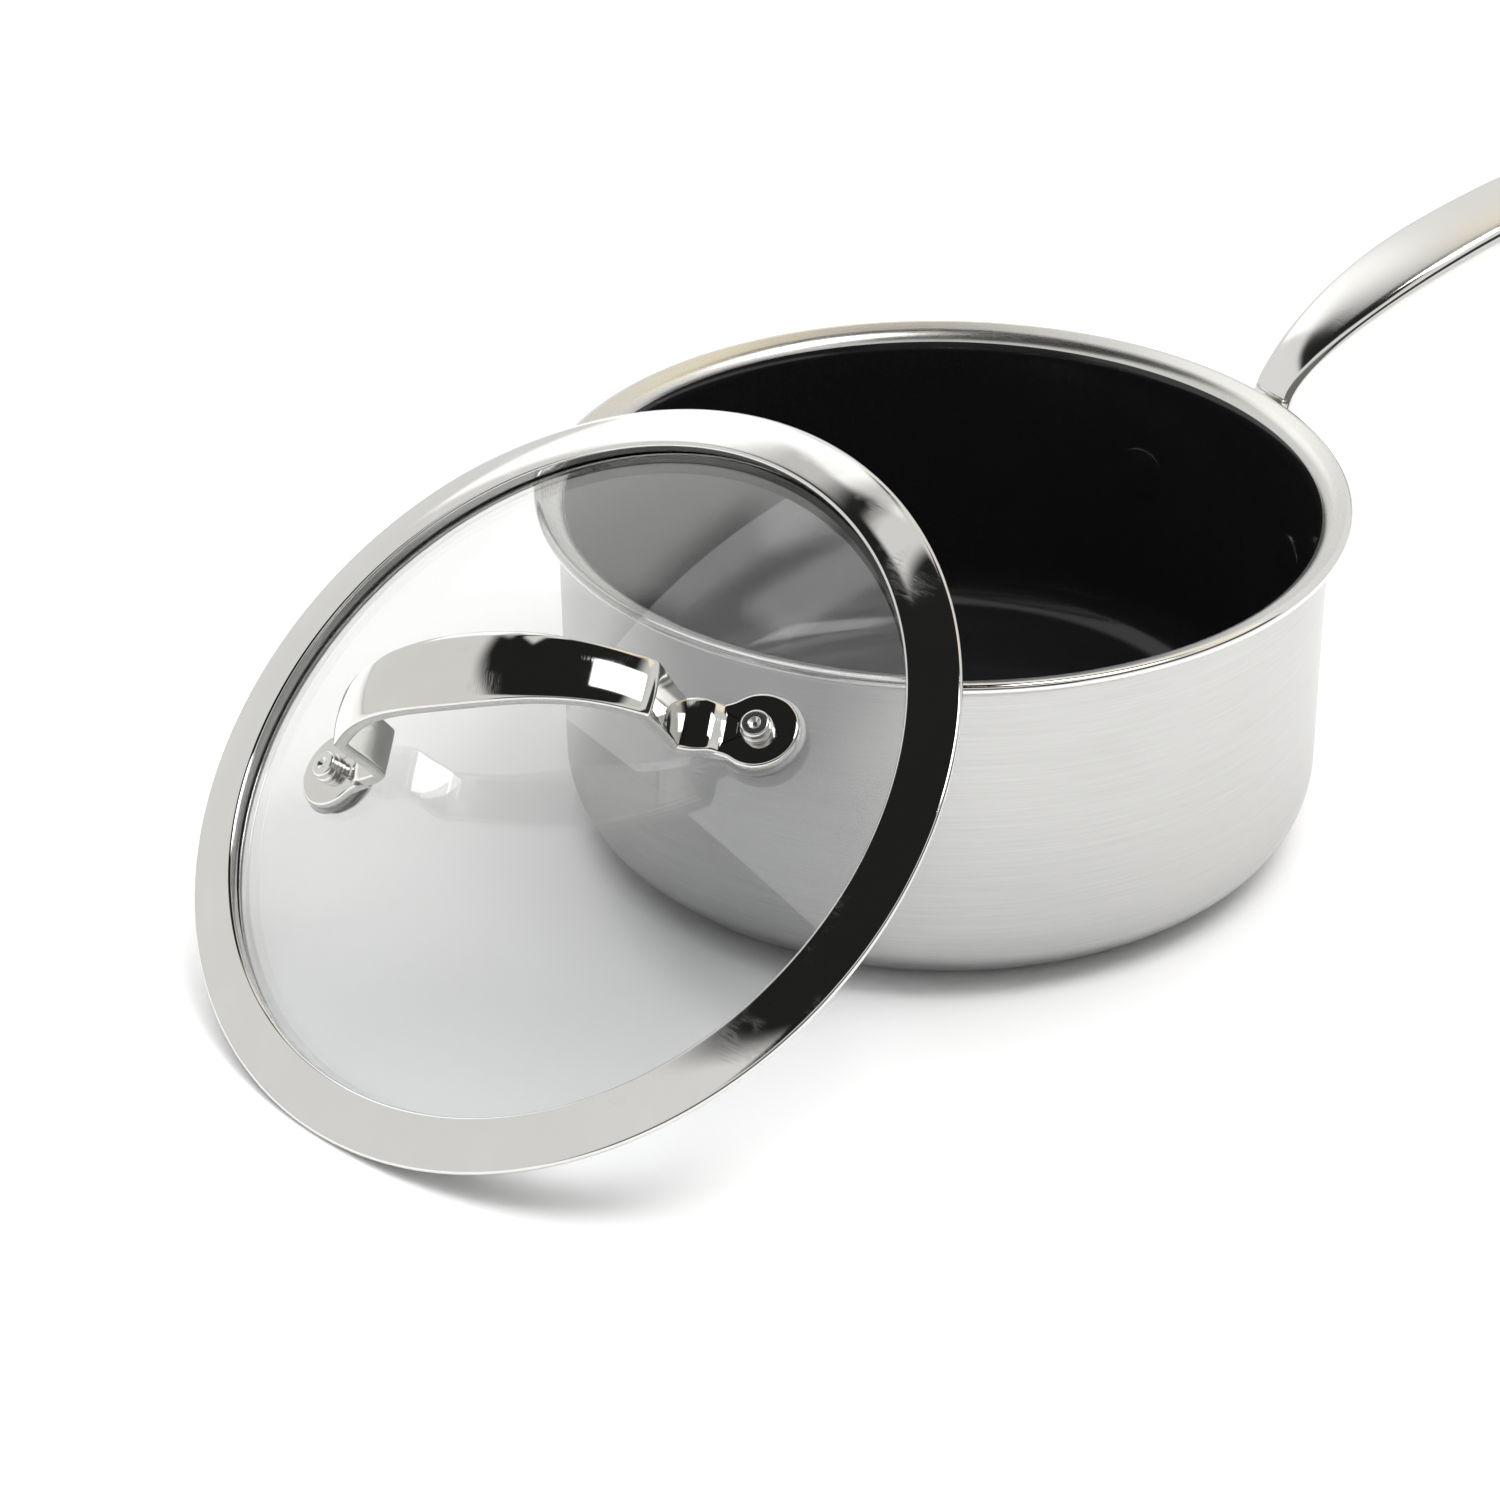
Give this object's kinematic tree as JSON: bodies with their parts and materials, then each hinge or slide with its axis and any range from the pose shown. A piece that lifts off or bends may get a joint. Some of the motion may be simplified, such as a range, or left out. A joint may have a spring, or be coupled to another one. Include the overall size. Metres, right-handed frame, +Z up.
{
  "type": "saucepan with glass lid",
  "caption": "Round stainless saucepan with a dark non-stick lining and long riveted handle; its domed glass lid with a steel rim and arched handle leans on the pan's rim.",
  "frame": {"origin": "centre of the pan's flat base, on the surface it stands on", "axes": "+X along the long handle, +Z up, out of the pan's mouth"},
  "size_m": [0.4809, 0.2126, 0.124],
  "materials": {
    "brushed_stainless": "brushed round the wall",
    "core_aluminium": "plain rolled sheet",
    "satin_stainless": "satin spun",
    "black_ceramic": "smooth semi-gloss coating",
    "polished_stainless": "polished casting",
    "rivet_steel": "coated black inside the pan",
    "clear_glass": "clear tempered glass",
    "mirror_stainless": "mirror polish",
    "seal_rubber": "soft matt seal",
    "stud_steel": "turned and lightly polished",
    "clear_silicone": "translucent silicone"
  },
  "bodies": {
    "pan": {"pan_outer_skin": "brushed_stainless", "pan_core": "core_aluminium", "pan_inner_skin": "satin_stainless", "nonstick_coating": "black_ceramic", "long_handle": "polished_stainless", "handle_rivet_left": "rivet_steel", "handle_rivet_right": "rivet_steel"},
    "lid": {"lid_glass": "clear_glass", "lid_rim_band": "mirror_stainless", "lid_rim_seal": "seal_rubber", "lid_handle": "mirror_stainless", "lid_stud_left": "stud_steel", "lid_stud_right": "stud_steel", "lid_upper_gasket_left": "clear_silicone", "lid_upper_gasket_right": "clear_silicone", "lid_lower_gasket_left": "clear_silicone", "lid_lower_gasket_right": "clear_silicone", "lid_washer_left": "stud_steel", "lid_washer_right": "stud_steel"}
  },
  "joints": [
    {"name": "lid_lift", "type": "slide", "parent": "pan", "child": "lid", "axis": [0, 0, 1], "range_m": [0, 0.25]}
  ]
}
